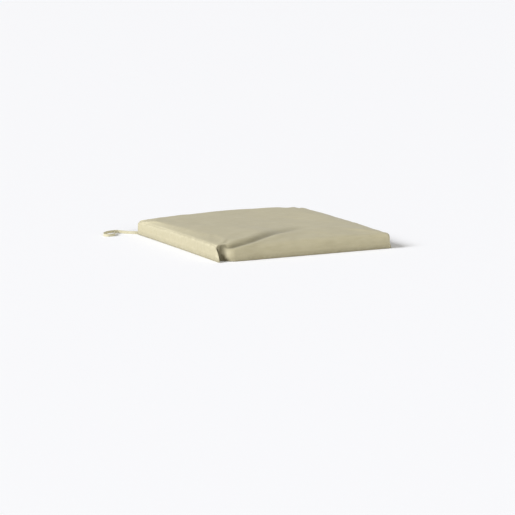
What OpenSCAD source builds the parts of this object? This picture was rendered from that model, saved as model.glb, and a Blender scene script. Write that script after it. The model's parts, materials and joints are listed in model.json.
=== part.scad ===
// Box seat pad for a slatted armchair: a foam slab in a wadding wrap, inside a removable
// zipped cover with a waterfall front and one folded tape tie at each back corner.
// Frame: millimetres, +Z up, front towards -Y, origin at the centre of the base.

/* [Pad] */
// Width across the seat
pad_w = 500; // [420:5:600]
// Depth from the rolled front to the zipped back
pad_d = 495; // [420:5:600]
// Thickness at the crown
pad_t = 50; // [46:1:70]
// Plan radius of the two back corners
back_corner_r = 22; // [14:1:28]

/* [Cover] */
// Thickness of the cover fabric
fabric_t = 1.2; // [0.8:0.1:2]
// Thickness of the wadding wrap
wadding_t = 6; // [3:0.5:7]
// How far each side boxing wraps along the back from its corner
back_return = 30; // [30:1:60]

/* [Zip] */
// Width of the slot between the two zip strips
slot_w = 11; // [11:0.5:14]
// Depth of the tape below the back face
zip_depth = 7.5; // [7.5:0.5:10]
// Width of each half of the zip's tape
tape_w = 12; // [10:0.5:13]
// Width of one coil
coil_w = 2.5; // [2.2:0.1:3]
// Height of one coil
coil_h = 2.2; // [1.8:0.1:2.2]
// Length of the slider
slider_len = 12; // [9:0.5:14]
// Length of the pull tab from its pivot
tab_len = 22; // [16:1:30]

/* [Ties] */
// Width of the folded tie tape
tie_w = 7; // [5:0.5:7]
// Thickness of one run of tie tape
tie_t = 1.6; // [1:0.1:1.8]
// Radius of the knot
knot_r = 5; // [4.5:0.5:7]

/* [Hidden] */
$fn = 64;

cloth = [0.78, 0.76, 0.64];
cloth_shade = [0.70, 0.68, 0.54];
cloth_light = [0.87, 0.86, 0.76];
foam_colour = [0.95, 0.88, 0.60];
wadding_colour = [0.97, 0.97, 0.95];
zip_colour = [0.62, 0.58, 0.44];
metal_colour = [0.70, 0.66, 0.56];
tie_colour = [0.86, 0.84, 0.72];

// Clearance between the slider and whatever it runs along
run_gap = 0.3;

x_side = pad_w / 2;
y_back = pad_d / 2;
front_r = pad_t / 2;
y_roll = front_r - pad_d / 2;
core_inset = fabric_t + wadding_t;

// Zip: everything is placed from the tape, inwards of the back face
zip_half = x_side - back_return;
zip_z = pad_t / 2;
tape_t = 0.5;
tape_half = zip_half - 1;
y_tape = y_back - zip_depth;
y_coil = y_tape + tape_t;
coil_top = y_coil + coil_h;
wing_t = 1.1;
divider_t = 0.7;
divider_len = 5;
coil_gap = divider_t + 2 * run_gap;
zip_pocket_depth = zip_depth + run_gap + wing_t + run_gap;
zip_pocket_half = coil_gap / 2 + tape_w + run_gap;
stop_len = 3;
stop_rise = 0.3;

// Slider: closed at the right, open at the left
slider_h = slot_w - 1.6;
slider_x = zip_half - 16;
open_x = tab_len + 4 - zip_half;
closed_stop_x = slider_x + slider_len / 2 + 2;
open_stop_x = open_x - slider_len / 2 - 2;

// Pull tab: an eye on the slider's pin, folded flat along the zip
pin_r = 0.7;
eye_r = 1.35;
eye_bore_r = 0.9;
eye_h = 2;
lug_t = 1;
lug_len = 3.6;
tab_t = 1.2;
tab_w = 5;
wing_top = coil_top + run_gap + wing_t;
y_pivot = wing_top + run_gap + eye_r;

// Ties: one tape folded double leaves the bottom seam at each back corner, is knotted, and
// ends in a loop. The tape stands on its edge, on the surface that the pad lies on.
tie_angle = 40;
anchor_len = 6;
tie_z = tie_w / 2;
// Distance between the centrelines of the two runs of the folded tape
run_pitch = 2.8;
corner_centre = [x_side - back_corner_r, y_back - back_corner_r];
tie_dir = [cos(tie_angle), sin(tie_angle)];
tie_side = [-sin(tie_angle), cos(tie_angle)];
tie_root = corner_centre + (back_corner_r + anchor_len) * tie_dir;
far_root = tie_root + run_pitch / 2 * tie_side;
near_root = tie_root - run_pitch / 2 * tie_side;
knot_centre = [291, 277, knot_r];
// Along the far run, round the loop and back along the near run
tie_route = [
    [far_root.x, far_root.y, tie_z],
    [257, 251.5, 3.5], [266, 259, 3.5], [276, 267.5, 4], [284, 274, 4.5],
    [291, 279, 5], [300, 280, 5], [311, 277.5, 5], [322, 272.5, 5],
    [332, 265.5, 4.5], [339, 256.5, 4], [341, 247, 3.5], [337, 239, 3.5],
    [328, 235.5, 3.5], [318, 238, 3.5], [311, 246, 3.5], [307, 256, 3.5],
    [303, 265, 4], [297.5, 272, 4.5],
    [291, 275, 5], [285, 271.5, 4.5],
    [277.5, 265.3, 4], [267.8, 257, 3.5], [258.8, 249.5, 3.5],
    [near_root.x, near_root.y, tie_z]
];

// Plan of the pad behind the roll, pulled in by inset at the sides and the back
module plan(inset) {
    corner_y = corner_centre.y;
    translate([inset - x_side, y_roll]) square([pad_w - 2 * inset, corner_y - y_roll]);
    translate([-corner_centre.x, y_roll])
        square([2 * corner_centre.x, y_back - inset - y_roll]);
    for (side = [-1, 1])
        translate([side * corner_centre.x, corner_y]) circle(back_corner_r - inset);
}

// Flat layer between two heights
module layer(z_low, z_high, inset) {
    translate([0, 0, z_low]) linear_extrude(z_high - z_low) plan(inset);
}

// Half round along the front, from radius r_in to radius r_out
module roll(r_in, r_out, x_low, x_high) {
    translate([x_low, y_roll, front_r]) rotate([90, 0, 90]) linear_extrude(x_high - x_low)
        difference() {
            intersection() {
                circle(r_out);
                translate([-r_out, -r_out]) square([r_out, 2 * r_out]);
            }
            if (r_in > 0) circle(r_in);
        }
}

module block(low, high) {
    translate(low) cube(high - low);
}

module foam_core() {
    color(foam_colour) difference() {
        union() {
            layer(core_inset, pad_t - core_inset, fabric_t);
            roll(0, front_r - core_inset, fabric_t - x_side, x_side - fabric_t);
        }
        block([-zip_half, y_back - zip_pocket_depth, zip_z - zip_pocket_half],
              [zip_half, y_back, zip_z + zip_pocket_half]);
    }
}

module wadding_wrap() {
    color(wadding_colour) {
        layer(fabric_t, core_inset, fabric_t);
        layer(pad_t - core_inset, pad_t - fabric_t, fabric_t);
        roll(front_r - core_inset, front_r - fabric_t, fabric_t - x_side, x_side - fabric_t);
    }
}

// The top runs over the roll and down to the front edge of the bottom panel
module top_panel() {
    color(cloth) {
        layer(pad_t - fabric_t, pad_t, 0);
        roll(front_r - fabric_t, front_r, -x_side, x_side);
    }
}

module bottom_panel() {
    color(cloth_shade) layer(0, fabric_t, 0);
}

// One side wall with its round front end and its return round the back corner
module boxing() {
    translate([0, 0, fabric_t]) linear_extrude(pad_t - 2 * fabric_t) intersection() {
        difference() {
            plan(0);
            plan(fabric_t);
        }
        translate([zip_half, y_roll]) square([back_return, y_back - y_roll]);
    }
    roll(0, front_r - fabric_t, x_side - fabric_t, x_side);
}

module left_boxing() {
    color(cloth_light) mirror([1, 0, 0]) boxing();
}

module right_boxing() {
    color(cloth_light) boxing();
}

// Back strip above the slot, with its edge turned in to the tape
module zip_strip() {
    slot_edge = zip_z + slot_w / 2;
    block([-zip_half, y_back - fabric_t, slot_edge], [zip_half, y_back, pad_t - fabric_t]);
    block([-zip_half, y_tape + tape_t, slot_edge],
          [zip_half, y_back - fabric_t, slot_edge + fabric_t]);
}

// The lower half of the zip mirrors the upper half
module lower_half() {
    translate([0, 0, 2 * zip_z]) mirror([0, 0, 1]) children();
}

module upper_zip_strip() {
    color(cloth) zip_strip();
}

module lower_zip_strip() {
    color(cloth) lower_half() zip_strip();
}

module zip_tape() {
    z_inner = zip_z + coil_gap / 2;
    block([-tape_half, y_tape, z_inner], [tape_half, y_tape + tape_t, z_inner + tape_w]);
}

module upper_zip_tape() {
    color(zip_colour) zip_tape();
}

module lower_zip_tape() {
    color(zip_colour) lower_half() zip_tape();
}

module zip_coil() {
    z_inner = zip_z + coil_gap / 2;
    block([open_stop_x, y_coil, z_inner], [closed_stop_x, coil_top, z_inner + coil_w]);
}

module upper_zip_coil() {
    color(zip_colour) zip_coil();
}

module lower_zip_coil() {
    color(zip_colour) lower_half() zip_coil();
}

module zip_closed_stop() {
    stop_half = coil_gap / 2 + coil_w;
    color(metal_colour)
        block([closed_stop_x, y_coil, zip_z - stop_half],
              [closed_stop_x + stop_len, coil_top + stop_rise, zip_z + stop_half]);
}

module open_stop() {
    z_inner = zip_z + coil_gap / 2;
    block([open_stop_x - stop_len, y_coil, z_inner],
          [open_stop_x, coil_top + stop_rise, z_inner + coil_w]);
}

module upper_open_stop() {
    color(metal_colour) open_stop();
}

module lower_open_stop() {
    color(metal_colour) lower_half() open_stop();
}

// Two wings joined by the divider that passes between the coils, with a pin held by two lugs
module zip_slider() {
    color(metal_colour) translate([slider_x, 0, zip_z]) {
        inner_face = y_tape - run_gap;
        wing = [slider_len, wing_t, slider_h];
        lug_z = eye_h / 2 + run_gap;
        translate([-slider_len / 2, inner_face - wing_t, -slider_h / 2]) cube(wing);
        translate([-slider_len / 2, wing_top - wing_t, -slider_h / 2]) cube(wing);
        translate([-divider_len / 2, inner_face - wing_t, -divider_t / 2])
            cube([divider_len, wing_top - inner_face + wing_t, divider_t]);
        for (side = [0, 1]) mirror([0, 0, side]) {
            translate([-lug_len / 2, wing_top, lug_z])
                cube([lug_len, y_pivot - wing_top, lug_t]);
            translate([0, y_pivot, lug_z])
                cylinder(h = lug_t, r = eye_r);
        }
        translate([0, y_pivot, -lug_z]) cylinder(h = 2 * lug_z, r = pin_r);
    }
}

// Eye on the slider's pin, a narrow neck between the lugs and a blade with a round end
module zip_pull_tab() {
    blade_start = lug_len / 2 + run_gap;
    blade_end = tab_len - tab_w / 2;
    color(metal_colour) translate([slider_x, y_pivot, zip_z]) {
        difference() {
            union() {
                translate([0, 0, -eye_h / 2]) cylinder(h = eye_h, r = eye_r);
                translate([-blade_start, -tab_t / 2, -eye_h / 2])
                    cube([blade_start, tab_t, eye_h]);
            }
            translate([0, 0, -eye_h]) cylinder(h = 2 * eye_h, r = eye_bore_r);
        }
        translate([-blade_end, -tab_t / 2, -tab_w / 2])
            cube([blade_end - blade_start, tab_t, tab_w]);
        translate([-blade_end, tab_t / 2, 0]) rotate([90, 0, 0])
            cylinder(h = tab_t, r = tab_w / 2);
    }
}

// Bar-tacked end of the folded tape, standing out of the corner of the bottom seam
module tie_anchor() {
    anchor_w = run_pitch + tie_t;
    difference() {
        translate([corner_centre.x, corner_centre.y, 0]) rotate([0, 0, tie_angle])
            translate([0, -anchor_w / 2, 0])
                cube([back_corner_r + anchor_len, anchor_w, tie_w]);
        translate([corner_centre.x, corner_centre.y, -tie_w])
            cylinder(h = 3 * tie_w, r = back_corner_r);
    }
}

// Outline of the tape across its route: [sideways, up]
function tape_outline() =
    let (half_t = tie_t / 2, half_w = tie_w / 2, bevel = tie_t / 4)
    [
        [half_t, half_w - bevel], [half_t - bevel, half_w],
        [bevel - half_t, half_w], [-half_t, half_w - bevel],
        [-half_t, bevel - half_w], [bevel - half_t, -half_w],
        [half_t - bevel, -half_w], [half_t, bevel - half_w]
    ];

// Level direction across the route at point i
function across(route, i) =
    let (
        a = route[max(i - 1, 0)],
        b = route[min(i + 1, len(route) - 1)],
        run = [b.x - a.x, b.y - a.y]
    )
    [run.y, -run.x, 0] / norm(run);

// The end rings lie square to the anchor's face, so the tape meets it face to face
function ring_across(route, i) =
    i == 0 ? [tie_dir.y, -tie_dir.x, 0]
    : i == len(route) - 1 ? [-tie_dir.y, tie_dir.x, 0]
    : across(route, i);

module tie_tape() {
    outline = tape_outline();
    sides = len(outline);
    rings = len(tie_route);
    points = [
        for (i = [0 : rings - 1]) for (corner = outline)
            tie_route[i] + corner.x * ring_across(tie_route, i) + [0, 0, corner.y]
    ];
    walls = [
        for (i = [0 : rings - 2]) for (j = [0 : sides - 1])
            let (k = (j + 1) % sides)
            [i * sides + j, i * sides + k, (i + 1) * sides + k, (i + 1) * sides + j]
    ];
    first_end = [for (j = [sides - 1 : -1 : 0]) j];
    last_end = [for (j = [0 : sides - 1]) (rings - 1) * sides + j];
    polyhedron(points = points, faces = concat(walls, [first_end, last_end]), convexity = 8);
}

module tie_knot() {
    translate(knot_centre) sphere(knot_r);
}

module left_tie_anchor() {
    color(tie_colour) mirror([1, 0, 0]) tie_anchor();
}

module left_tie_tape() {
    color(tie_colour) mirror([1, 0, 0]) tie_tape();
}

module left_tie_knot() {
    color(tie_colour) mirror([1, 0, 0]) tie_knot();
}

module right_tie_anchor() {
    color(tie_colour) tie_anchor();
}

module right_tie_tape() {
    color(tie_colour) tie_tape();
}

module right_tie_knot() {
    color(tie_colour) tie_knot();
}

foam_core();
wadding_wrap();
top_panel();
bottom_panel();
left_boxing();
right_boxing();
upper_zip_strip();
lower_zip_strip();
upper_zip_tape();
lower_zip_tape();
upper_zip_coil();
lower_zip_coil();
zip_closed_stop();
upper_open_stop();
lower_open_stop();
zip_slider();
zip_pull_tab();
left_tie_anchor();
left_tie_tape();
left_tie_knot();
right_tie_anchor();
right_tie_tape();
right_tie_knot();
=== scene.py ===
import json
import math

import bmesh
import bpy
from mathutils import Matrix, Vector, bvhtree, kdtree, noise


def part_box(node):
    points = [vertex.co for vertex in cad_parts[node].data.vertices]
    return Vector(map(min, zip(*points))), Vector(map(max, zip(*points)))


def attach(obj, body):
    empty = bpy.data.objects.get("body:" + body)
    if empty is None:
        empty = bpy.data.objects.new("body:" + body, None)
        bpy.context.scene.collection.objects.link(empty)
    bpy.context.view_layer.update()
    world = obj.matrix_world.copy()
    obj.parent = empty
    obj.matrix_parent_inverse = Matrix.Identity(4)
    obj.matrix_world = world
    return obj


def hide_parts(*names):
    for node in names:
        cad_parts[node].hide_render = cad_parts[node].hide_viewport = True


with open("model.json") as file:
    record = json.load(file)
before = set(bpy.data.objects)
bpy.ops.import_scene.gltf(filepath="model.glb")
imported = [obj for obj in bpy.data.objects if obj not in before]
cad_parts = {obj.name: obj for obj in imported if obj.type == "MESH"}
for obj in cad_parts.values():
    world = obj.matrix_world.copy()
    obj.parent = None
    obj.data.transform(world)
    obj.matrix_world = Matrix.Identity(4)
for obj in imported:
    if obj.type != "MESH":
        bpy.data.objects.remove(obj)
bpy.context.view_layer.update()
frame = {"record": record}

scene = bpy.context.scene


# ---------------------------------------------------------------- sizes taken from the frame

def corners(node):
    low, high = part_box(node)
    return Vector(low), Vector(high)


pad_high = corners("top_panel")[1]
slot_low = corners("lower_zip_strip")[1].z
slot_high = corners("upper_zip_strip")[0].z
tape_face = corners("upper_zip_tape")[1].y
zip_half = corners("upper_zip_strip")[1].x
HALF_W = pad_high.x
HALF_D = pad_high.y
# Height of the cover's plain box, before its top is raised to top_height.
SEAM_Z = 0.0365
# Radius of the CAD pad's back corners, and height of the middle of its back.
BACK_R = 0.022
MID_Z = 0.025


# ---------------------------------------------------------------- camera

AZIMUTH = math.radians(-27.49)
ELEVATION = math.radians(9.97)
ROLL = math.radians(0.24)
DISTANCE = 6.43
LENS_MM = 171.7
AIM = Vector((-0.0137, -0.0015, -0.0432))


def make_camera():
    back = Vector((math.sin(AZIMUTH) * math.cos(ELEVATION),
                   -math.cos(AZIMUTH) * math.cos(ELEVATION),
                   math.sin(ELEVATION)))
    level = Vector((math.cos(AZIMUTH), math.sin(AZIMUTH), 0))
    above = back.cross(level)
    right = math.cos(ROLL) * level + math.sin(ROLL) * above
    up = math.cos(ROLL) * above - math.sin(ROLL) * level
    camera = bpy.data.objects.new("camera", bpy.data.cameras.new("camera"))
    camera.data.lens = LENS_MM
    camera.data.clip_end = 200
    turn = Matrix((right, up, back)).transposed().to_4x4()
    camera.matrix_world = Matrix.Translation(AIM + DISTANCE * back) @ turn
    scene.collection.objects.link(camera)
    scene.camera = camera


make_camera()


# ---------------------------------------------------------------- helpers

def new_object(name, mesh, material, body="pad"):
    obj = bpy.data.objects.new(name, mesh)
    scene.collection.objects.link(obj)
    mesh.materials.append(material)
    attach(obj, body)
    return obj


def smooth(mesh):
    mesh.polygons.foreach_set("use_smooth", [True] * len(mesh.polygons))
    mesh.update()


def mesh_from(name, points, faces):
    mesh = bpy.data.meshes.new(name)
    mesh.from_pydata([tuple(p) for p in points], [], faces)
    smooth(mesh)
    return mesh


def ramp(x, low, high):
    """0 below low, 1 above high, and smooth between them."""
    t = min(max((x - low) / (high - low), 0.0), 1.0)
    return t * t * (3 - 2 * t)


def spline(rows, before, after, per_span):
    """Rows on a smooth curve through all the given rows. before and after only set its ends."""
    ends = [before] + rows + [after]
    out = []
    for i in range(len(rows) - 1):
        a, b, c, d = ends[i:i + 4]
        for step in range(per_span):
            t = step / per_span
            out.append(0.5 * (2 * b + (c - a) * t + (2 * a - 5 * b + 4 * c - d) * t * t
                              + (3 * b - a - 3 * c + d) * t ** 3))
    return out + [rows[-1]]


def curve_through(points, per_span=6):
    """Points on a smooth curve that passes through all the given points."""
    pts = [Vector(p) for p in points]
    return spline(pts, 2 * pts[0] - pts[1], 2 * pts[-1] - pts[-2], per_span)


def path_length(points):
    return sum((b - a).length for a, b in zip(points, points[1:]))


def sweep(name, points, outline, upright, closed=False):
    """A tube along points. outline is (sideways, up) pairs, and upright(i) the up direction."""
    n, m = len(points), len(outline)
    verts = []
    for i, p in enumerate(points):
        before = points[(i - 1) % n] if closed else points[max(i - 1, 0)]
        after = points[(i + 1) % n] if closed else points[min(i + 1, n - 1)]
        along = (after - before).normalized()
        up = upright(i)
        side = along.cross(up).normalized()
        up = side.cross(along).normalized()
        verts += [p + side * x + up * z for x, z in outline]
    rings = n if closed else n - 1
    faces = [(i * m + j, i * m + (j + 1) % m, (i + 1) % n * m + (j + 1) % m, (i + 1) % n * m + j)
             for i in range(rings) for j in range(m)]
    if not closed:
        faces.append(tuple(range(m - 1, -1, -1)))
        faces.append(tuple((n - 1) * m + j for j in range(m)))
    return mesh_from(name, verts, faces)


# ---------------------------------------------------------------- materials

def node_material(name):
    mat = bpy.data.materials.new(name)
    mat.use_nodes = True
    tree = mat.node_tree
    tree.nodes.clear()
    out = tree.nodes.new("ShaderNodeOutputMaterial")
    shader = tree.nodes.new("ShaderNodeBsdfPrincipled")
    tree.links.new(shader.outputs[0], out.inputs[0])
    return mat, tree, shader


def add(tree, kind, **values):
    node = tree.nodes.new(kind)
    for key, value in values.items():
        if key in node.inputs:
            node.inputs[key].default_value = value
        else:
            setattr(node, key, value)
    return node


def math_node(tree, operation, a, b=None):
    node = tree.nodes.new("ShaderNodeMath")
    node.operation = operation
    for socket, value in zip(node.inputs, (a, b)):
        if value is None:
            continue
        if isinstance(value, (int, float)):
            socket.default_value = value
        else:
            tree.links.new(value, socket)
    return node.outputs[0]


def mix_colour(tree, factor, a, b, blend="MIX"):
    node = tree.nodes.new("ShaderNodeMix")
    node.data_type = "RGBA"
    node.blend_type = blend
    for socket, value in ((node.inputs[0], factor), (node.inputs[6], a), (node.inputs[7], b)):
        if isinstance(value, (int, float)):
            socket.default_value = value
        elif isinstance(value, tuple):
            socket.default_value = (*value, 1)
        else:
            tree.links.new(value, socket)
    return node.outputs[2]


def linear(rgb):
    """Linear values of an sRGB colour given in 0 to 255."""
    return tuple((v / 255 / 12.92) if v <= 10 else ((v / 255 + 0.055) / 1.055) ** 2.4 for v in rgb)


def weave_height(tree, pitch):
    """Plain weave of yarns a pitch apart, laid in the plane that the surface faces."""
    place = tree.nodes.new("ShaderNodeTexCoord").outputs["Object"]
    axes = tree.nodes.new("ShaderNodeSeparateXYZ")
    tree.links.new(place, axes.inputs[0])
    facing = tree.nodes.new("ShaderNodeSeparateXYZ")
    tree.links.new(tree.nodes.new("ShaderNodeNewGeometry").outputs["True Normal"], facing.inputs[0])
    waves = [math_node(tree, "SINE", math_node(tree, "MULTIPLY", axes.outputs[i], math.pi / pitch))
             for i in range(3)]
    total = None
    for i, (u, v) in enumerate(((1, 2), (0, 2), (0, 1))):
        weight = math_node(tree, "POWER", math_node(tree, "ABSOLUTE", facing.outputs[i]), 4)
        cell = math_node(tree, "MULTIPLY", waves[u], waves[v])
        part = math_node(tree, "MULTIPLY", cell, weight)
        total = part if total is None else math_node(tree, "ADD", total, part)
    return place, total


def cloth_material(name, light, dark, pitch=0.0009, sheen=0.15, roughness=0.7):
    """Woven cloth. Each mesh gives where it is rubbed pale, and where it is darkened by seam dirt and
    by painted shade, if anywhere.
    """
    mat, tree, shader = node_material(name)
    place, weave = weave_height(tree, pitch)
    # Thick and thin yarns, drawn out along the pad's width.
    slub = add(tree, "ShaderNodeTexNoise", Scale=120.0, Detail=3.0, Roughness=0.6)
    stretch = add(tree, "ShaderNodeMapping")
    stretch.inputs["Scale"].default_value = (0.25, 1.0, 1.0)
    tree.links.new(place, stretch.inputs[0])
    tree.links.new(stretch.outputs[0], slub.inputs["Vector"])
    patches = add(tree, "ShaderNodeTexNoise", Scale=14.0, Detail=2.0, Roughness=0.5)
    tree.links.new(place, patches.inputs["Vector"])
    grain = math_node(tree, "MULTIPLY_ADD", weave, 0.12)
    grain.node.inputs[2].default_value = 0.5
    tone = math_node(tree, "MULTIPLY_ADD", slub.outputs[0], 0.66)
    tree.links.new(math_node(tree, "SUBTRACT", grain, 0.33), tone.node.inputs[2])
    base = mix_colour(tree, tone, dark, light)
    drift = math_node(tree, "MULTIPLY_ADD", patches.outputs[0], 0.10)
    drift.node.inputs[2].default_value = 0.95
    varied = mix_colour(tree, 1.0, base, drift, "MULTIPLY")
    rubbed = tree.nodes.new("ShaderNodeAttribute")
    rubbed.attribute_name = "rub"
    pale = mix_colour(tree, rubbed.outputs["Fac"], varied, tuple(min(1.18 * c, 1) for c in light))
    # Dirt along the seams, and painted shade in the front left crease, its recess and along the base,
    # all darken the cloth towards a deep shade of its dark colour.
    dirt_and_painted_shade_attr = tree.nodes.new("ShaderNodeAttribute")
    dirt_and_painted_shade_attr.attribute_name = "dirt_and_painted_shade"
    final = mix_colour(tree, dirt_and_painted_shade_attr.outputs["Fac"], pale, tuple(0.42 * c for c in dark))
    tree.links.new(final, shader.inputs["Base Color"])
    bump = add(tree, "ShaderNodeBump", Strength=0.5, Distance=0.00012)
    lift = math_node(tree, "MULTIPLY_ADD", slub.outputs[0], 0.8)
    tree.links.new(weave, lift.node.inputs[2])
    tree.links.new(lift, bump.inputs["Height"])
    tree.links.new(bump.outputs[0], shader.inputs["Normal"])
    shader.inputs["Roughness"].default_value = roughness
    shader.inputs["Sheen Weight"].default_value = sheen
    shader.inputs["Sheen Roughness"].default_value = 0.45
    shader.inputs["Sheen Tint"].default_value = (1.0, 0.99, 0.93, 1)
    shader.inputs["Specular IOR Level"].default_value = 0.28
    return mat


def plain_material(name, colour, roughness, metallic=0.0, grain=300.0, depth=0.00005, vary=0.12):
    mat, tree, shader = node_material(name)
    place = tree.nodes.new("ShaderNodeTexCoord").outputs["Object"]
    speckle = add(tree, "ShaderNodeTexNoise", Scale=grain, Detail=4.0)
    tree.links.new(place, speckle.inputs["Vector"])
    dark = tuple((1 - vary) * c for c in colour)
    light = tuple(min((1 + vary) * c, 1) for c in colour)
    tree.links.new(mix_colour(tree, speckle.outputs[0], dark, light), shader.inputs["Base Color"])
    bump = add(tree, "ShaderNodeBump", Strength=0.4, Distance=depth)
    tree.links.new(speckle.outputs[0], bump.inputs["Height"])
    tree.links.new(bump.outputs[0], shader.inputs["Normal"])
    shader.inputs["Roughness"].default_value = roughness
    shader.inputs["Metallic"].default_value = metallic
    return mat


COVER_LIGHT = linear((193, 186, 158))
COVER_DARK = linear((167, 158, 125))
cover_cloth = cloth_material("cover_cloth", COVER_LIGHT, COVER_DARK)
tie_cloth = cloth_material("tie_cloth", linear((210, 205, 180)), linear((176, 168, 134)), 0.0006)
zip_cloth = cloth_material("zip_cloth", linear((176, 168, 132)), linear((150, 142, 106)), 0.0005, 0.1)
coil_plastic = plain_material("coil_plastic", linear((168, 160, 124)), 0.35)
zip_metal = plain_material("zip_metal", linear((186, 178, 150)), 0.32, 0.9, 900.0, 0.00001, 0.06)
thread = plain_material("thread", linear((206, 199, 168)), 0.7, 0.0, 2500.0)
foam = plain_material("foam_cells", linear((236, 218, 150)), 0.9, 0.0, 700.0, 0.0008, 0.1)
wadding = plain_material("wadding_fibre", linear((244, 243, 236)), 0.95, 0.0, 220.0, 0.001, 0.05)


# ---------------------------------------------------------------- ties (free tapes)

TIE_W = 0.007
TIE_T = 0.0013
KNOT_W = 0.0042
KNOT_SCALE = 0.00105
TIE_ANGLE = math.radians(40)
ANCHOR_LEN = 0.006
RUN_PITCH = 0.0028
CORNER = Vector((HALF_W - BACK_R, HALF_D - BACK_R, 0))
TIE_DIR = Vector((math.cos(TIE_ANGLE), math.sin(TIE_ANGLE), 0))
TIE_SIDE = Vector((-math.sin(TIE_ANGLE), math.cos(TIE_ANGLE), 0))
KNOT_CENTRE = Vector((0.291, 0.277, 0.005))
ROUTE = [
    (0.257, 0.2515, 0.0035), (0.266, 0.259, 0.0035), (0.276, 0.2675, 0.004), (0.284, 0.274, 0.0045),
    (0.291, 0.279, 0.005), (0.300, 0.280, 0.005), (0.311, 0.2775, 0.005), (0.322, 0.2725, 0.005),
    (0.332, 0.2655, 0.0045), (0.339, 0.2565, 0.004), (0.341, 0.247, 0.0035), (0.337, 0.239, 0.0035),
    (0.328, 0.2355, 0.0035), (0.318, 0.238, 0.0035), (0.311, 0.246, 0.0035), (0.307, 0.256, 0.0035),
    (0.303, 0.265, 0.004), (0.2975, 0.272, 0.0045),
    (0.291, 0.275, 0.005), (0.285, 0.2715, 0.0045),
    (0.2775, 0.2653, 0.004), (0.2678, 0.257, 0.0035), (0.2588, 0.2495, 0.0035),
]


def tape_outline(width, thick):
    """Flat woven tape with slightly thicker selvedges."""
    w, t = width / 2, thick / 2
    half = [(t * 0.5, w), (t, w * 0.93), (t * 0.95, w * 0.8), (t * 0.72, w * 0.62), (t * 0.72, 0.0),
            (t * 0.72, -w * 0.62), (t * 0.95, -w * 0.8), (t, -w * 0.93), (t * 0.5, -w)]
    return half + [(-x, z) for x, z in reversed(half)]


def knot_path(count=72):
    """Points round a trefoil, which is the path of an overhand knot."""
    out = []
    for i in range(count):
        t = 2 * math.pi * i / count
        out.append(Vector((math.sin(t) + 2 * math.sin(2 * t),
                           math.cos(t) - 2 * math.cos(2 * t),
                           -1.6 * math.sin(3 * t))) * KNOT_SCALE)
    return out


def make_tie(name, mirror):
    flip = Vector((mirror, 1, 1))
    root = CORNER + (BACK_R + ANCHOR_LEN) * TIE_DIR + Vector((0, 0, TIE_W / 2))
    points = [root + RUN_PITCH / 2 * TIE_SIDE, *ROUTE, root - RUN_PITCH / 2 * TIE_SIDE]
    line = [Vector(p) * flip for p in curve_through(points)]
    tape = new_object(name + "_tie_ribbon",
                      sweep(name + "_tie_ribbon", line, tape_outline(TIE_W, TIE_T),
                            lambda i: Vector((0, 0, 1))), tie_cloth)
    middle = KNOT_CENTRE * flip
    wraps = [middle + p for p in knot_path()]

    def across_knot(i):
        along = wraps[(i + 1) % len(wraps)] - wraps[i - 1]
        return along.cross(wraps[i] - middle)

    knot = new_object(name + "_ribbon_knot",
                      sweep(name + "_ribbon_knot", wraps, tape_outline(KNOT_W, TIE_T),
                            across_knot, closed=True), tie_cloth)
    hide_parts(name + "_tie_tape")
    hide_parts(name + "_tie_knot")
    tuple(line[0])
    path_length(line)


make_tie("left", -1)
make_tie("right", 1)


# ---------------------------------------------------------------- stage and light

def make_stage():
    points = [(-60, -60, 0), (60, -60, 0), (60, 60, 0), (-60, 60, 0)]
    mesh = mesh_from("floor", [Vector(p) + Vector((0, 0, -0.0003)) for p in points], [(0, 1, 2, 3)])
    mat, tree, shader = node_material("floor_paint")
    shader.inputs["Base Color"].default_value = (0.97, 0.97, 0.97, 1)
    shader.inputs["Roughness"].default_value = 0.9
    mesh.materials.append(mat)
    floor = bpy.data.objects.new("floor", mesh)
    scene.collection.objects.link(floor)


def far_light(name, towards, spread, strength, colour=(1, 1, 1)):
    """A big soft source so far off that it lights the whole floor evenly."""
    light = bpy.data.lights.new(name, "SUN")
    light.angle = math.radians(spread)
    light.energy = strength
    light.color = colour
    obj = bpy.data.objects.new(name, light)
    obj.rotation_euler = Vector(towards).to_track_quat("Z", "Y").to_euler()
    scene.collection.objects.link(obj)


def make_light():
    world = bpy.data.worlds.new("studio")
    world.use_nodes = True
    back = world.node_tree.nodes["Background"]
    back.inputs[0].default_value = (1.0, 0.985, 0.955, 1)
    back.inputs[1].default_value = 0.32
    scene.world = world
    scene.view_settings.view_transform = "Standard"
    scene.view_settings.look = "None"
    far_light("left_softbox", (-0.87, 0.02, 0.48), 25, 3.6, (0.985, 1.0, 1.06))
    far_light("front_softbox", (0.10, -1.0, 0.45), 30, 0.95, (1.01, 1.0, 0.98))


make_stage()
make_light()


# ---------------------------------------------------------------- cushion: shape before filling

PANELS = ["cover_top", "cover_base", "cover_left", "cover_right", "cover_back_upper",
          "cover_back_lower", "slot"]
TOP, BASE, LEFT, RIGHT, BACK_UPPER, BACK_LOWER, SLOT = range(len(PANELS))
TINY = 1e-6
TOP_Z = 0.0505
# Distances from an edge to the first grid lines beside it.
EDGE_STEPS = [0.0, 0.0025, 0.005, 0.0075, 0.010, 0.0125, 0.0155, 0.019, 0.023]
FINE_GRID = 0.0042
COARSE_GRID = 0.0085
# Radii of the edges. A cover's edge is tighter at the base than where the filling pushes it out.
TIGHT_R = 0.003
FRONT_TOP_R = 0.021
BACK_WALL_R = 0.006
TOP_R = 0.007
BASE_R = 0.0025
BACK_CORNER_R = 0.018
FRONT_CORNER_R = 0.009
SHOULDER = 0.045
SHOULDER_DROP = 0.006


def evenly(low, high, step):
    count = max(round((high - low) / step), 1)
    return [low + (high - low) * i / count for i in range(count)]


def grid_lines(low, high, fine_until, margin):
    """Lines across the pad: close at both edges, fine up to fine_until, then coarser."""
    start = [low + s for s in EDGE_STEPS]
    end = [high - s for s in reversed(EDGE_STEPS)]
    inner = evenly(low + margin, fine_until, FINE_GRID)
    inner += evenly(fine_until, high - margin, COARSE_GRID)
    return start + inner + [high - margin] + end


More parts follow.
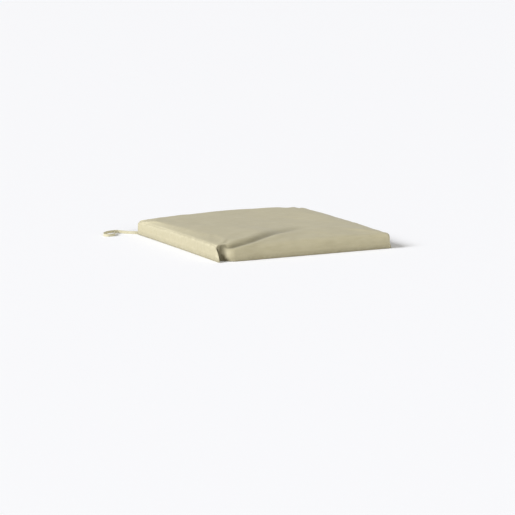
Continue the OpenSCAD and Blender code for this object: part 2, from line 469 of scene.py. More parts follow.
def rounded(x, y, z, half_w, half_d, height, inset=0.0):
    """Point of a plain box moved onto the rounded box. z runs from 0 to height."""
    front = 1 - ramp(y, -half_d + 0.020, -half_d + 0.075)
    risen = ramp(z, 0.004, 0.020)
    leftness = ramp(-x, 0.0, half_w)
    r_x = TIGHT_R + (0.006 + 0.008 * leftness) * risen
    r_y = TIGHT_R + 0.015 * risen if y < 0 else BACK_WALL_R
    r_low = TOP_R + 0.005 * leftness * ramp(-y, -half_d + 0.010, -half_d + 0.040)
    r_top = r_low + (FRONT_TOP_R - inset - r_low) * front * (1 - 0.7 * ramp(x, 0.19, 0.245))
    q_x = max(abs(x) - half_w + r_x, 0) / r_x
    q_y = max(abs(y) - half_d + r_y, 0) / r_y
    q_z = max(z - height + r_top, 0) / r_top - max(BASE_R - z, 0) / BASE_R
    size = math.sqrt(q_x * q_x + q_y * q_y + q_z * q_z)
    if size > 1e-9:
        shrink = 1 / size
        if q_x > 0:
            x = math.copysign(half_w - r_x + r_x * q_x * shrink, x)
        if q_y > 0:
            y = math.copysign(half_d - r_y + r_y * q_y * shrink, y)
        if q_z > 0:
            z = height - r_top + r_top * q_z * shrink
        if q_z < 0:
            z = BASE_R + BASE_R * q_z * shrink
    return round_plan(x, y, half_w, half_d), z


def round_plan(x, y, half_w, half_d):
    """Rounds the plan's corners: tighter at the front than at the back."""
    corner_r = BACK_CORNER_R if y > 0 else FRONT_CORNER_R
    scale = max(abs(x) / half_w, abs(y) / half_d)
    if scale < 0.5:
        return x, y
    r = corner_r * scale
    q_x = (abs(x) - half_w * scale + r) / r
    q_y = (abs(y) - half_d * scale + r) / r
    if q_x <= 0 or q_y <= 0:
        return x, y
    shrink = max(q_x, q_y) / math.hypot(q_x, q_y)
    return (math.copysign(half_w * scale - r + r * q_x * shrink, x),
            math.copysign(half_d * scale - r + r * q_y * shrink, y))


# Height of the top's edge from left to right, along the back and along the front: (x, height).
BACK_HEIGHTS = [(-0.250, 0.0345), (-0.225, 0.0400), (-0.142, 0.0410), (-0.100, 0.0435),
                (-0.044, 0.0465), (0.014, 0.0480), (0.100, 0.0490), (0.209, 0.0455), (0.250, 0.0420)]
FRONT_HEIGHTS = [(-0.250, 0.0430), (-0.200, 0.0460), (-0.044, 0.0460), (0.100, 0.0460),
                 (0.209, 0.0440), (0.250, 0.0415)]

# Where use has pushed the filling up or down: (x, y, spread, height).
WORN_SHAPE = [(-0.095, -0.115, 0.060, 0.0045), (0.070, 0.080, 0.110, -0.0050)]


def height_along(stops, x):
    x = min(max(x, stops[0][0]), stops[-1][0])
    for (a, low), (b, high) in zip(stops, stops[1:]):
        if x <= b:
            return low + (high - low) * (x - a) / (b - a)
    return stops[-1][1]


def top_height(x, y):
    """Height of the top before filling: lowest at the back left, bowed up between corners."""
    u, v = min(abs(x / HALF_W), 1), min(abs(y / HALF_D), 1)
    forward = ramp(-y, -HALF_D, HALF_D)
    edge = (1 - forward) * height_along(BACK_HEIGHTS, x) + forward * height_along(FRONT_HEIGHTS, x)
    edge += (0.001 + 0.003 * ramp(x, 0, HALF_W)) * (1 - v * v)
    shoulder = max(-y - HALF_D + SHOULDER, 0) / SHOULDER
    drop = SHOULDER_DROP * shoulder * shoulder * (1 - 0.8 * ramp(x, 0.17, 0.24))
    worn = sum(height * math.exp(-((x - cx) ** 2 + (y - cy) ** 2) / spread ** 2)
               for cx, cy, spread, height in WORN_SHAPE)
    return edge + (0.6 * (TOP_Z - edge) + worn) * (1 - u ** 6) * (1 - v ** 6) - drop


def box_grid(xs, ys, zs, place, panel):
    """Closed grid over the six sides of a box. place maps a grid point. panel tags a face from
    its axis, whether it is on the far side, and its cell as {axis: number}."""
    index, verts, faces, tags = {}, [], [], []

    def vertex(i, j, k):
        key = (i, j, k)
        if key not in index:
            index[key] = len(verts)
            verts.append(place(xs[i], ys[j], zs[k]))
        return index[key]

    last = (len(xs) - 1, len(ys) - 1, len(zs) - 1)
    for axis in range(3):
        u, v = [a for a in range(3) if a != axis]
        for side in (0, last[axis]):
            for a in range(last[u]):
                for b in range(last[v]):
                    quad = []
                    for du, dv in ((0, 0), (1, 0), (1, 1), (0, 1)):
                        key = [0, 0, 0]
                        key[axis], key[u], key[v] = side, a + du, b + dv
                        quad.append(vertex(*key))
                    if (side == 0) != (axis == 1):
                        quad.reverse()
                    faces.append(quad)
                    tags.append(panel(axis, side > 0, {u: a, v: b}))
    return verts, faces, tags


X_LINES = grid_lines(-HALF_W, HALF_W, -0.100, HALF_W - zip_half)
Y_LINES = grid_lines(-HALF_D, HALF_D, -0.130, 0.030)
Z_LINES = [0.0, 0.0025, 0.0060, 0.0105, 0.0150, slot_low, 0.0250, slot_high, 0.0335, SEAM_Z]
ZIP_EDGE = X_LINES.index(min(X_LINES, key=lambda x: abs(x + zip_half)))


def panel_of(axis, far, cell):
    """Number in PANELS of the cover panel that a face belongs to."""
    if axis == 2:
        return TOP if far else BASE
    if axis == 0:
        return RIGHT if far else LEFT
    if not far:
        return TOP
    if cell[0] < ZIP_EDGE:
        return LEFT
    if cell[0] >= len(X_LINES) - 1 - ZIP_EDGE:
        return RIGHT
    if Z_LINES[cell[2]] >= slot_high - TINY:
        return BACK_UPPER
    return BACK_LOWER if Z_LINES[cell[2] + 1] <= slot_low + TINY else SLOT


SIDE_SPREAD = 1.003
BELLY = 0.0025


def start_place(x, y, z):
    """Place of a grid point before filling: rounded, lifted to the top's height, with a full front."""
    (px, py), pz = rounded(x, y, z, HALF_W, HALF_D, SEAM_Z)
    at_back = ramp(y, HALF_D - 0.030, HALF_D - 0.006)
    above_slot = min(max((z - slot_high) / (SEAM_Z - slot_high), 0), 1)
    lifted = ramp(pz / SEAM_Z, 0.3, 1.0) * (1 - at_back) + above_slot * at_back
    pz += (top_height(px, py) - SEAM_Z) * lifted
    belly = BELLY * math.sin(math.pi * min(pz / 0.042, 1)) if y < 0 else 0.0
    return Vector((px * SIDE_SPREAD, py - 0.0005 - belly, pz))


def make_cushion_mesh():
    verts, faces, tags = box_grid(X_LINES, Y_LINES, Z_LINES, start_place, panel_of)
    mesh = mesh_from("cushion", verts, faces)
    for _ in PANELS:
        mesh.materials.append(cover_cloth)
    mesh.polygons.foreach_set("material_index", tags)
    return mesh


# ---------------------------------------------------------------- cushion: filled by simulation

PUFF_CAP = 0.006
PULL_IN = 0.006
# How far the filled cover's outermost points stand past the CAD pad's sides.
OVER_EDGE = 0.0015
EDGE_ZONE = 0.060
FILL_FRAMES = 20


def to_edge(value, limit, furthest, band=0.004):
    """Brings the furthest point to the limit: the edge zone is moved out if it falls short, and
    only the outermost band is pressed together if it goes past."""
    if furthest < limit:
        outwards = (limit - furthest) * ramp(abs(value), limit - EDGE_ZONE, furthest)
        return value + math.copysign(outwards, value)
    start = limit - band
    if abs(value) <= start:
        return value
    return math.copysign(start + (abs(value) - start) * band / max(furthest - start, band), value)


def fit_to_pad(mesh):
    """Brings the filled cover back to the pad's size, with sides that pull in between corners."""
    wide = max(abs(v.co.x) for v in mesh.vertices)
    front = -min(v.co.y for v in mesh.vertices)
    tall = max(v.co.z for v in mesh.vertices)
    for v in mesh.vertices:
        x = to_edge(v.co.x, HALF_W + OVER_EDGE, wide)
        y = to_edge(v.co.y, HALF_D + OVER_EDGE, front) if v.co.y < 0 else v.co.y
        v.co.x = x * (1 - PULL_IN * (1 - (y / HALF_D) ** 2))
        v.co.y = y * (1 - PULL_IN * (1 - (x / HALF_W) ** 2)) if y < 0 else y
        if v.co.z > SEAM_Z:
            v.co.z = SEAM_Z + (v.co.z - SEAM_Z) * (TOP_Z - SEAM_Z) / (tall - SEAM_Z)
    mesh.update()


def fill_cushion(mesh):
    """Blows the cover up round its filling. The base and the zip's edges are held."""
    obj = bpy.data.objects.new("filling", mesh)
    scene.collection.objects.link(obj)
    before = [v.co.copy() for v in mesh.vertices]
    held = obj.vertex_groups.new(name="held")
    for v in mesh.vertices:
        on_base = v.co.z < 0.0006
        by_zip = v.co.y > HALF_D * 0.985 and slot_low - 0.005 < v.co.z < slot_high + 0.004
        if on_base or by_zip:
            held.add([v.index], 1.0, "REPLACE")
    cloth = obj.modifiers.new("cloth", "CLOTH")
    settings = cloth.settings
    settings.quality = 6
    settings.mass = 0.25
    settings.tension_stiffness = 12
    settings.compression_stiffness = 12
    settings.shear_stiffness = 4
    settings.bending_stiffness = 0.6
    settings.use_pressure = True
    settings.uniform_pressure_force = 4.0
    settings.vertex_group_mass = "held"
    settings.effector_weights.gravity = 0
    cloth.point_cache.frame_start = 1
    cloth.point_cache.frame_end = FILL_FRAMES
    for step in range(1, FILL_FRAMES + 1):
        scene.frame_set(step)
    graph = bpy.context.evaluated_depsgraph_get()
    filled = obj.evaluated_get(graph).to_mesh()
    moved = [v.co.copy() for v in filled.vertices]
    scene.frame_set(1)
    bpy.data.objects.remove(obj)
    for v, old, new in zip(mesh.vertices, before, moved):
        puff = new - old
        if puff.length > PUFF_CAP:
            puff *= PUFF_CAP / puff.length
        v.co = old + puff
        v.co.z = max(v.co.z, 0.0)
    fit_to_pad(mesh)


# ---------------------------------------------------------------- cushion: the tuck at the front left

# The crease starts at the front left corner and fades out over the top.
# Each stop is (place, direction of the pull, depth, half width).
TUCK = [
    ((-0.2370, -0.2330, 0.040), (0.1, 0.2, -1.0), 0.0080, 0.0062),
    ((-0.2120, -0.2350, 0.041), (0.0, 0.3, -1.0), 0.0085, 0.0070),
    ((-0.1700, -0.2230, 0.044), (0.0, 0.2, -1.0), 0.0072, 0.0080),
    ((-0.1300, -0.2040, 0.046), (0.0, 0.1, -1.0), 0.0062, 0.0095),
    ((-0.0770, -0.1740, 0.048), (0.0, 0.0, -1.0), 0.0062, 0.0120),
    ((-0.0200, -0.1400, 0.049), (0.0, 0.0, -1.0), 0.0042, 0.0160),
    ((0.0350, -0.1120, 0.050), (0.0, 0.0, -1.0), 0.0022, 0.0200),
    ((0.0800, -0.0900, 0.050), (0.0, 0.0, -1.0), 0.0, 0.0260),
]
# The front face is pushed in between the corner's edge and the round end of the front roll.
CORNER_EDGE = -0.2450
ROLL_END = -0.2285
ROLL_ROUND = 0.026
TUCK_DEPTH = 0.022
TUCK_REACH = 0.075
# The side of the crease that the front roll lies on, and how far that lip sinks.
LIP_SIDE = Vector((0.6, -0.8, 0))
LIP_DROP = 0.0025


def tuck_stops(per_span=8):
    """The stops of TUCK with more between them: (place, pull, depth, half width)."""
    rows = [Vector((*place, *pull, depth, width)) for place, pull, depth, width in TUCK]
    return [(Vector(r[0:3]), Vector(r[3:6]).normalized(), max(r[6], 0), r[7])
            for r in spline(rows, rows[0], rows[-1], per_span)]


def press_corner(mesh):
    """Pushes the cloth in beside the front left corner. Gives how deep each vertex went."""
    depths = []
    for v in mesh.vertices:
        x, y, z = v.co
        along = min(max((ROLL_END + ROLL_ROUND - x) / ROLL_ROUND, 0), 1)
        tall = abs(z - 0.018) / 0.020
        bulge = 1 - min(along * along + 0.7 * tall * tall * along, 1)
        amount = (1 - math.sqrt(bulge)) * ramp(x, CORNER_EDGE - 0.0012, CORNER_EDGE + 0.0022)
        near_front = min(max((-y - HALF_D + 2 * TUCK_DEPTH) / (2 * TUCK_DEPTH), 0), 1)
        v.co.y += TUCK_DEPTH * amount * near_front
        depths.append(ramp(amount, 0.2, 0.7) * ramp(near_front, 0.4, 0.8))
    mesh.update()
    return depths


def press_tuck(mesh, grow=1.0, deeper=0.0):
    """Pulls the surface in along the tuck and lets it swell on both sides. Gives how deep each
    vertex lies in the tuck, from 0 to 1."""
    stops = tuck_stops()
    depths = []
    corner = press_corner(mesh)
    for v, pushed in zip(mesh.vertices, corner):
        p = v.co
        if p.x > 0.11 or p.y > -0.03 or p.z < 0.0004 and p.x > -0.2:
            depths.append(pushed)
            continue
        best = None
        for (a, pull_a, depth_a, width_a), (b, pull_b, depth_b, width_b) in zip(stops, stops[1:]):
            along = b - a
            t = min(max((p - a).dot(along) / along.length_squared, 0), 1)
            across = p - a - t * along
            if best is None or across.length < best[0].length:
                best = (across, pull_a.lerp(pull_b, t), depth_a + (depth_b - depth_a) * t,
                        (width_a + (width_b - width_a) * t) * grow)
        across, pull, depth, width = best
        if across.length > TUCK_REACH:
            depths.append(pushed)
            continue
        on_lip = across.dot(LIP_SIDE) > 0
        d = across.length / width
        valley = math.exp(-d ** 1.9)
        swell = (0.30 if on_lip else 0.18) * math.exp(-((d - 2.3) / 0.9) ** 2)
        lifted = ramp(p.z, 0.020, 0.036)
        v.co = p + pull * (depth + deeper * min(depth / 0.006, 1)) * (valley - swell) * lifted
        lip = ramp(across.dot(LIP_SIDE), -0.002, 0.008) * ramp(p.z, 0.004, 0.034)
        lip *= ramp(-p.x, 0.02, 0.21) * ramp(-p.y, 0.150, 0.220) * ramp(p.x, -0.247, -0.242)
        v.co.z -= LIP_DROP * lip
        depths.append(max(pushed, valley * lifted * min(depth / 0.008, 1)))
    mesh.update()
    return depths


# ---------------------------------------------------------------- cushion: seams, folds and panels

def remove_faces(mesh, tag):
    bm = bmesh.new()
    bm.from_mesh(mesh)
    bmesh.ops.delete(bm, geom=[f for f in bm.faces if f.material_index == tag], context="FACES")
    bm.to_mesh(mesh)
    bm.free()


# Depths at which the cloth folded in round the slot has an edge, down to the zip's tape.
SLOT_FOLDS = (0.0009, 0.0020, 0.0045, HALF_D - tape_face - 0.0001)
SLOT_ROLL = 0.0003


def turn_in_slot(mesh):
    """Folds the cloth round the slot's edge and in to the zip's tape."""
    bm = bmesh.new()
    bm.from_mesh(mesh)
    edges = [e for e in bm.edges if e.is_boundary]
    for depth in SLOT_FOLDS:
        made = bmesh.ops.extrude_edge_only(bm, edges=edges)["geom"]
        for v in (g for g in made if isinstance(g, bmesh.types.BMVert)):
            v.co.y = HALF_D - depth
            if depth < 0.001:
                v.co.z += SLOT_ROLL if v.co.z < MID_Z else -SLOT_ROLL
        edges = [g for g in made if isinstance(g, bmesh.types.BMEdge) and g.is_boundary]
    bmesh.ops.recalc_face_normals(bm, faces=bm.faces)
    bm.to_mesh(mesh)
    bm.free()


def subdivided(mesh):
    obj = bpy.data.objects.new("finer", mesh)
    scene.collection.objects.link(obj)
    modifier = obj.modifiers.new("finer", "SUBSURF")
    modifier.levels = 1
    graph = bpy.context.evaluated_depsgraph_get()
    out = bpy.data.meshes.new_from_object(obj.evaluated_get(graph))
    bpy.data.objects.remove(obj)
    return out


def seam_vertices(mesh):
    """Vertices where two panels of the cover meet."""
    panels = [set() for _ in mesh.vertices]
    for poly in mesh.polygons:
        for i in poly.vertices:
            panels[i].add(poly.material_index)
    return [i for i, found in enumerate(panels) if len(found) > 1]


def dress(mesh):
    """Soft hollows over the pad, puckers beside the seams and the sunk seams themselves."""
    seams = seam_vertices(mesh)
    tree = kdtree.KDTree(len(seams))
    for n, i in enumerate(seams):
        tree.insert(mesh.vertices[i].co, n)
    tree.balance()
    normals = [v.normal.copy() for v in mesh.vertices]
    on_seam = set(seams)
    dirt_and_painted_shade, rub = [], []
    for v, normal in zip(mesh.vertices, normals):
        p = v.co.copy()
        near, _, gap = tree.find(p)
        fade = ramp(p.z, 0.0005, 0.006)
        by_slot = p.y > HALF_D - 0.010 and abs(p.z - MID_Z) < 0.012
        broad = 0.0016 * noise.noise(p * 11) + 0.0007 * noise.noise(p * 31 + Vector((5, 2, 1)))
        pucker = 0.0008 * noise.noise(near * 105) * math.exp(-gap / 0.010) * ramp(gap, 0.0, 0.004)
        sunk = 0.0006 if v.index in on_seam else 0.0
        amount = 0.0 if by_slot else 1.0
        v.co = p + normal * (fade * amount * (broad + pucker) - sunk)
        v.co.z = max(v.co.z, 0.0)
        # Only the seams' dirt is given here; the painted shade is added in make_cover.
        dirt_and_painted_shade.append(0.12 if v.index in on_seam else 0.0)
        speckle = 0.5 + noise.noise(p * 160)
        rub.append(0.55 * max(speckle, 0) * math.exp(-((gap - 0.003) / 0.003) ** 2))
    mesh.update()
    return dirt_and_painted_shade, rub


def panel_object(mesh, tag, name):
    bm = bmesh.new()
    bm.from_mesh(mesh)
    bmesh.ops.delete(bm, geom=[f for f in bm.faces if f.material_index != tag], context="FACES")
    for f in bm.faces:
        f.material_index = 0
    part = bpy.data.meshes.new(name)
    bm.to_mesh(part)
    bm.free()
    smooth(part)
    return new_object(name, part, cover_cloth)


def tube_faces(first, rings, sides, flip=False):
    """Faces of a closed tube whose rings of vertices follow each other from number first."""
    faces = []
    for r in range(rings - 1):
        for k in range(sides):
            a = first + r * sides + k
            b = first + r * sides + (k + 1) % sides
            faces.append((a, a + sides, b + sides, b) if flip else (a, b, b + sides, a + sides))
    start = tuple(range(first, first + sides))
    end = tuple(v + (rings - 1) * sides for v in start)
    faces.append(start if flip else start[::-1])
    faces.append(end[::-1] if flip else end)
    return faces


TUBE_SIDES = 6
STITCH_LEN = 0.0026
STITCH_PITCH = 0.0034
STITCH_R = 0.00032
STITCH_ARCH = 0.00026
# Rings of a stitch: (place in parts of its length, swell in parts of its radius).
STITCH_RINGS = [(-0.5, 0.35), (-0.36, 0.8), (-0.12, 1.0), (0.12, 1.0), (0.36, 0.8), (0.5, 0.35)]


def stitch_rows(name, rows, surface):
    """Rows of short thread stitches laid on a surface. Each row is (start, end) of a line."""
    tree = bvhtree.BVHTree.FromPolygons([v.co for v in surface.vertices],
                                        [tuple(p.vertices) for p in surface.polygons])
    verts, faces = [], []
    for start, end in rows:
        start, end = Vector(start), Vector(end)
        along = (end - start).normalized()
        for n in range(int((end - start).length / STITCH_PITCH)):
            place, normal, _, _ = tree.find_nearest(start + along * (n + 0.5) * STITCH_PITCH)
            side = along.cross(normal).normalized()
            first = len(verts)
            for s, swell in STITCH_RINGS:
                centre = place + along * s * STITCH_LEN + normal * STITCH_ARCH * (swell - 0.6)
                verts += [centre + STITCH_R * swell * (side * math.cos(a) + normal * math.sin(a))
                          for a in (2 * math.pi * k / TUBE_SIDES for k in range(TUBE_SIDES))]
            faces += tube_faces(first, len(STITCH_RINGS), TUBE_SIDES)
    obj = new_object(name, mesh_from(name, verts, faces), thread)


def write_values(mesh, name, values):
    layer = mesh.attributes.new(name, "FLOAT", "POINT")
    layer.data.foreach_set("value", values)


def make_cover():
    """Makes the six panels of the cover, and gives the whole cover's mesh."""
    mesh = make_cushion_mesh()
    fill_cushion(mesh)
    remove_faces(mesh, SLOT)
    turn_in_slot(mesh)
    write_values(mesh, "tuck", press_tuck(mesh))
    mesh = subdivided(mesh)
    dirt_and_painted_shade, rub = dress(mesh)
    write_values(mesh, "rub", rub)
    # The tuck's depth darkens the cloth: painted shade in the crease over the top and in the recess at
    # the front left corner.
    depths = [item.value for item in mesh.attributes["tuck"].data]
    # Painted shade: the cloth is painted darker towards the base, within 15 mm of the floor, in place
    # of the shadow where the cover meets the ground.
    painted_base_shade = [0.45 * (1 - ramp(v.co.z, 0.0, 0.015)) for v in mesh.vertices]
    write_values(mesh, "dirt_and_painted_shade", [min(s + 0.95 * d + b, 1.0) for s, d, b in zip(dirt_and_painted_shade, depths, painted_base_shade)])
    stands_for = {"cover_top": "top_panel", "cover_base": "bottom_panel", "cover_left": "left_boxing",
                  "cover_right": "right_boxing", "cover_back_upper": "upper_zip_strip",
                  "cover_back_lower": "lower_zip_strip"}
    for name, node in stands_for.items():
        panel_object(mesh, PANELS.index(name), name)
        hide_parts(node)
    return mesh


cover_mesh = make_cover()
STITCH_END = zip_half - 0.002
STITCH_GAP = 0.0026
zip_rows = [((-STITCH_END, HALF_D, z), (STITCH_END, HALF_D, z))
            for z in (slot_high + STITCH_GAP, slot_low - STITCH_GAP)]
stitch_rows("zip_topstitching", zip_rows, cover_mesh)


# ---------------------------------------------------------------- filling

cover_tree = bvhtree.BVHTree.FromPolygons([v.co for v in cover_mesh.vertices],
                                          [tuple(p.vertices) for p in cover_mesh.polygons])


def keep_inside(mesh, gap):
    """Moves each point at least a gap in from the cover."""
    for v in mesh.vertices:
        for _ in range(3):
            place, normal, _, _ = cover_tree.find_nearest(v.co)
            depth = (place - v.co).dot(normal)
            if depth >= gap:
                break
            v.co += normal * (depth - gap)
    mesh.update()


def inner_block(name, inset, material, node):
    """A rounded slab inside the cover, held in by the cover."""
    low, high = inset + 0.001, SEAM_Z - inset
    half_w, half_d = HALF_W - inset - 0.012, HALF_D - inset - 0.011

    def place(x, y, z):
        (px, py), pz = rounded(x, y, z, half_w, half_d, high - low, inset)
        rise = top_height(px, py) - SEAM_Z
        return Vector((px, py - 0.003, low + pz + rise * ramp(pz, 0.01, 0.03)))

    xs = evenly(-half_w, half_w, 0.010) + [half_w]
    ys = evenly(-half_d, half_d, 0.010) + [half_d]
    zs = evenly(0.0, high - low, 0.006) + [high - low]
    verts, faces, _ = box_grid(xs, ys, zs, place, lambda *_: 0)
    mesh = mesh_from(name, verts, faces)
    press_tuck(mesh, 1.6, inset * 0.6)
    keep_inside(mesh, inset)
    obj = new_object(name, mesh, material)
    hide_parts(node)
    return obj


foam_slab = inner_block("foam_slab", 0.010, foam, "foam_core")


def make_wadding():
    """The wadding sheet folded round the foam's front: the slab's skin without its sides and back."""
    obj = inner_block("wadding_sheet", 0.0045, wadding, "wadding_wrap")
    mesh = obj.data
    bm = bmesh.new()
    bm.from_mesh(mesh)
    open_sides = [f for f in bm.faces if abs(f.normal.x) > 0.75 or f.normal.y > 0.75]
    bmesh.ops.delete(bm, geom=open_sides, context="FACES")
    bmesh.ops.solidify(bm, geom=list(bm.faces), thickness=0.003)
    bm.to_mesh(mesh)
    bm.free()
    smooth(mesh)


make_wadding()


# ---------------------------------------------------------------- zip

ZIP_Z = (slot_low + slot_high) / 2
COIL_PITCH = 0.00132
COIL_WIRE = 0.00058
COIL_OVERLAP = 0.0004


def tooth(x, half_len, top, bottom, wire):
    """One turn of coil: a bent wire across the zip, raised in the middle."""
    stations = [(-half_len, 0.2), (-half_len * 0.8, 0.75), (-half_len * 0.3, 1.0),
                (half_len * 0.3, 1.0), (half_len * 0.8, 0.85), (half_len, 0.35)]
    rings = []
    for along, rise in stations:
        y = bottom + (top - bottom - wire) * rise
        r = wire * (0.6 if rise < 0.5 else 1.0)
        rings.append([Vector((x + r * math.cos(a), y + r * math.sin(a), along))
                      for a in (2 * math.pi * k / TUBE_SIDES for k in range(TUBE_SIDES))])
    return rings


def make_coil(name, node, side, phase):
    """A row of turns along one half of the zip. side is 1 for the upper half, -1 for the lower."""
    low, high = corners(node)
    reach = high.z - low.z
    middle = (low.z + high.z) / 2 - side * COIL_OVERLAP
    verts, faces = [], []
    count = int((high.x - low.x) / COIL_PITCH)
    for n in range(count):
        x = low.x + (n + 0.5 + phase) * COIL_PITCH
        rings = tooth(x, reach / 2 + COIL_OVERLAP, high.y, low.y, COIL_WIRE)
        base = len(verts)
        for ring in rings:
            verts += [Vector((p.x, p.y, middle - side * p.z)) for p in ring]
        faces += tube_faces(base, len(rings), TUBE_SIDES, flip=side < 0)
    obj = new_object(name, mesh_from(name, verts, faces), coil_plastic)
    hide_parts(node)


make_coil("zip_coil_upper", "upper_zip_coil", 1, 0.0)
make_coil("zip_coil_lower", "lower_zip_coil", -1, 0.5)


def outline_solid(outline, y_low, y_high, bevel):
    """A plate from an outline in X and Z, between two Y levels, with bevelled edges."""
    bm = bmesh.new()
    front = [bm.verts.new((x, y_low, z)) for x, z in outline]
    back = [bm.verts.new((x, y_high, z)) for x, z in outline]
    bm.faces.new(front)
    bm.faces.new(list(reversed(back)))
    n = len(outline)
    for i in range(n):
        bm.faces.new((front[i], back[i], back[(i + 1) % n], front[(i + 1) % n]))
    bmesh.ops.recalc_face_normals(bm, faces=bm.faces)
    sharp = [e for e in bm.edges if e.calc_face_angle(0) > 0.9]
    bmesh.ops.bevel(bm, geom=sharp, offset=bevel, segments=3, affect="EDGES", profile=0.5)
    return bm


def join_bm(name, parts, material, body):
    mesh = bpy.data.meshes.new(name)
    whole = bmesh.new()
    for bm in parts:
        part = bpy.data.meshes.new("part")
        bm.to_mesh(part)
        bm.free()
        whole.from_mesh(part)
        bpy.data.meshes.remove(part)
    whole.to_mesh(mesh)
    whole.free()
    smooth(mesh)
    mesh.set_sharp_from_angle(angle=math.radians(35))
    return new_object(name, mesh, material, body)


TAB_PIVOT = Vector(frame["record"]["behaviour"]["joints"][1]["pos_m"])
PLATE_T = 0.0011
PIN_R = 0.0007
PIN_LEN = 0.0042
LUG_T = 0.001
LUG_Z = 0.0013


def slider_lug(x, base_y, rise, side):
    """One of the two arches that carry the pin: side is 1 above the zip's middle, -1 below."""
    z_a, z_b = sorted((side * LUG_Z, side * (LUG_Z + LUG_T)))
    arch = [(-0.0026, 0), (-0.0019, 0.0015), (-0.0011, rise), (0, rise + 0.0004), (0.0011, rise),
            (0.0019, 0.0015), (0.0026, 0)]
    lug = bmesh.new()
    near = [lug.verts.new((x + a, base_y + b, ZIP_Z + z_a)) for a, b in arch]
    far = [lug.verts.new((x + a, base_y + b, ZIP_Z + z_b)) for a, b in arch]
    lug.faces.new(near)
    lug.faces.new(list(reversed(far)))
    for i in range(len(arch)):
        j = (i + 1) % len(arch)
        lug.faces.new((near[i], far[i], far[j], near[j]))
    bmesh.ops.recalc_face_normals(lug, faces=lug.faces)
    bmesh.ops.bevel(lug, geom=list(lug.edges), offset=0.00015, segments=2, affect="EDGES")
    return lug


def slider_pin(x):
    pin = bmesh.new()
    bmesh.ops.create_cone(pin, cap_ends=True, segments=20, radius1=PIN_R, radius2=PIN_R,
                          depth=PIN_LEN, matrix=Matrix.Translation((x, TAB_PIVOT.y, ZIP_Z)))
    return pin


def make_slider():
    low, high = corners("zip_slider")
    x = (low.x + high.x) / 2
    half = (high.x - low.x) / 2
    tall = (high.z - low.z) / 2
    shape = [(-half, -tall * 0.62), (-half * 0.7, -tall * 0.72), (0, -tall * 0.8), (half * 0.5, -tall),
             (half * 0.85, -tall), (half, -tall * 0.8), (half, tall * 0.8), (half * 0.85, tall),
             (half * 0.5, tall), (0, tall * 0.8), (-half * 0.7, tall * 0.72), (-half, tall * 0.62)]
    outline = [(x + px, ZIP_Z + pz) for px, pz in shape]
    rail = [(x + half * s, ZIP_Z + t)
            for s, t in ((0.1, -0.00035), (0.8, -0.00035), (0.8, 0.00035), (0.1, 0.00035))]
    coil_top = corners("upper_zip_coil")[1].y
    lug_rise = high.y - coil_top - 0.0017
    parts = [outline_solid(outline, low.y, low.y + PLATE_T, 0.0003),
             outline_solid(outline, coil_top + 0.0003, coil_top + 0.0003 + PLATE_T, 0.0004),
             outline_solid(rail, low.y + 0.0008, coil_top + 0.0006, 0.0001),
             slider_lug(x, coil_top + 0.0012, lug_rise, -1),
             slider_lug(x, coil_top + 0.0012, lug_rise, 1),
             slider_pin(x)]
    obj = join_bm("slider_body", parts, zip_metal, "slider")
    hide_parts("zip_slider")


TAB_NECK = -0.0022
EYE_IN = 0.0009
EYE_OUT = 0.00135
EYE_HALF = 0.001
EYE_STEPS = 28


def tab_eye():
    """The ring that the pin goes through."""
    eye = bmesh.new()
    rings = []
    for r, z in ((EYE_IN, -EYE_HALF), (EYE_OUT, -EYE_HALF), (EYE_OUT, EYE_HALF), (EYE_IN, EYE_HALF)):
        rings.append([eye.verts.new((TAB_PIVOT.x + r * math.cos(2 * math.pi * k / EYE_STEPS),
                                     TAB_PIVOT.y + r * math.sin(2 * math.pi * k / EYE_STEPS),
                                     TAB_PIVOT.z + z))
                      for k in range(EYE_STEPS)])
    for r in range(4):
        a, b = rings[r], rings[(r + 1) % 4]
        for k in range(EYE_STEPS):
            n = (k + 1) % EYE_STEPS
            eye.faces.new((a[k], a[n], b[n], b[k]))
    bmesh.ops.recalc_face_normals(eye, faces=eye.faces)
    return eye


def tab_plate(outline, y_low, y_high, bevel):
    """A plate of the pull tab. outline and levels are measured from the pin."""
    placed = [(TAB_PIVOT.x + x, TAB_PIVOT.z + z) for x, z in outline]
    return outline_solid(placed, TAB_PIVOT.y + y_low, TAB_PIVOT.y + y_high, bevel)


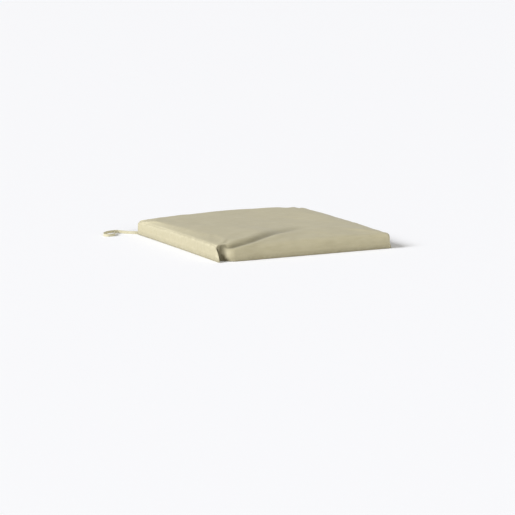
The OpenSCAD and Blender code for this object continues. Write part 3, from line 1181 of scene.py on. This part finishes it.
def make_pull_tab():
    low, high = corners("zip_pull_tab")
    half = (high.z - low.z) / 2
    tip = low.x - TAB_PIVOT.x
    outline = [(TAB_NECK, -0.0009), (TAB_NECK - 0.0012, -half * 0.7), (TAB_NECK - 0.0025, -half)]
    outline += [(tip + half + half * math.cos(a), half * math.sin(a))
                for a in (math.radians(d) for d in range(-90, -271, -20))]
    outline += [(TAB_NECK - 0.0025, half), (TAB_NECK - 0.0012, half * 0.7), (TAB_NECK, 0.0009)]
    link = [(-0.0011, -0.0008), (TAB_NECK - 0.0004, -0.0009), (TAB_NECK - 0.0004, 0.0009),
            (-0.0011, 0.0008)]
    grip = [(tip + 0.004 + a, b)
            for a, b in ((0, -0.0013), (0.0085, -0.0013), (0.0085, 0.0013), (0, 0.0013))]
    parts = [tab_plate(outline, -0.0006, 0.0006, 0.00025), tab_eye(),
             tab_plate(link, -0.0005, 0.0005, 0.0001), tab_plate(grip, 0.0004, 0.0009, 0.0002)]
    obj = join_bm("pull_tab_plate", parts, zip_metal, "pull_tab")
    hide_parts("zip_pull_tab")


make_slider()
make_pull_tab()


# ---------------------------------------------------------------- CAD nodes that stay in view

STAYING_NODES = {"upper_zip_tape": zip_cloth, "lower_zip_tape": zip_cloth, "zip_closed_stop": zip_metal,
                 "upper_open_stop": zip_metal, "lower_open_stop": zip_metal,
                 "left_tie_anchor": tie_cloth, "right_tie_anchor": tie_cloth}
# Places of the bar tack's rows along a tie's sewn end, and how far they lie off its middle.
TACK_ROWS = (0.0016, 0.0028, 0.0040)
TACK_OFF = 0.004


def sew_anchor(side, mirror):
    node = side + "_tie_anchor"
    flip = Vector((mirror, 1, 1))
    tacks = []
    for out in TACK_ROWS:
        foot = CORNER + (BACK_R + out) * TIE_DIR - TACK_OFF * TIE_SIDE
        head = foot + Vector((0, 0, TIE_W))
        tacks.append((foot * flip, head * flip))
    stitch_rows(side + "_tie_bar_tack", tacks, bpy.data.objects[node].data)


for staying, material in STAYING_NODES.items():
    bpy.data.objects[staying].material_slots[0].material = material
sew_anchor("left", -1)
sew_anchor("right", 1)
